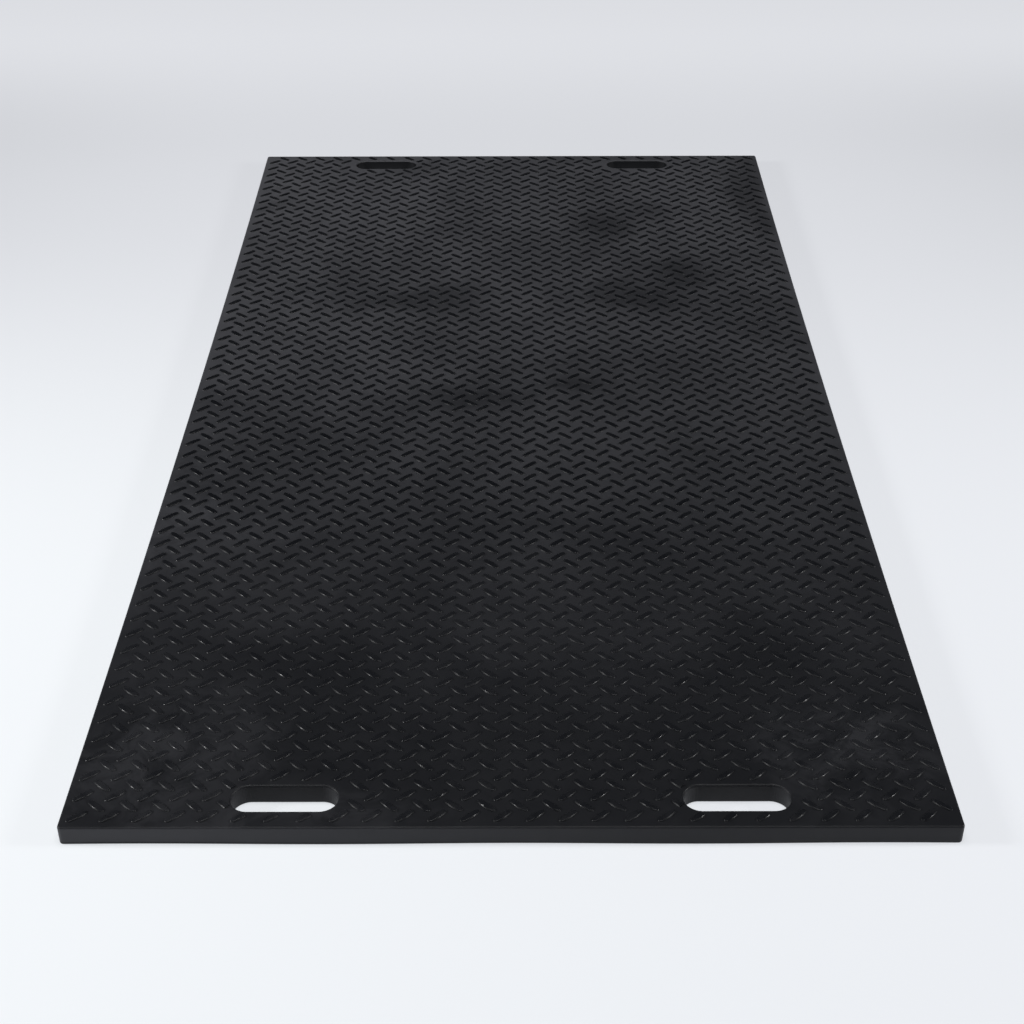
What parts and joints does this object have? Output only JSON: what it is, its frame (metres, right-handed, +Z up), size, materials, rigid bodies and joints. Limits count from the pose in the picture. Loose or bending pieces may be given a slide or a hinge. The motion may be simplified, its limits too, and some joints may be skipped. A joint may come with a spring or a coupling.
{
  "type": "ground protection mat",
  "caption": "Flat moulded ground protection mat with a raised diamond tread on top and rounded hand slots near both short ends for lifting and linking.",
  "frame": {"origin": "centre of the underside, on the ground", "axes": "+X across the mat, +Y along its length, +Z up out of the tread"},
  "size_m": [1.2, 2.4, 0.032],
  "materials": {
    "black_polymer": "black moulded polyethylene, dull with a slight sheen, scuffed and dusty"
  },
  "bodies": {
    "root": {"mat": "black_polymer"}
  },
  "joints": []
}
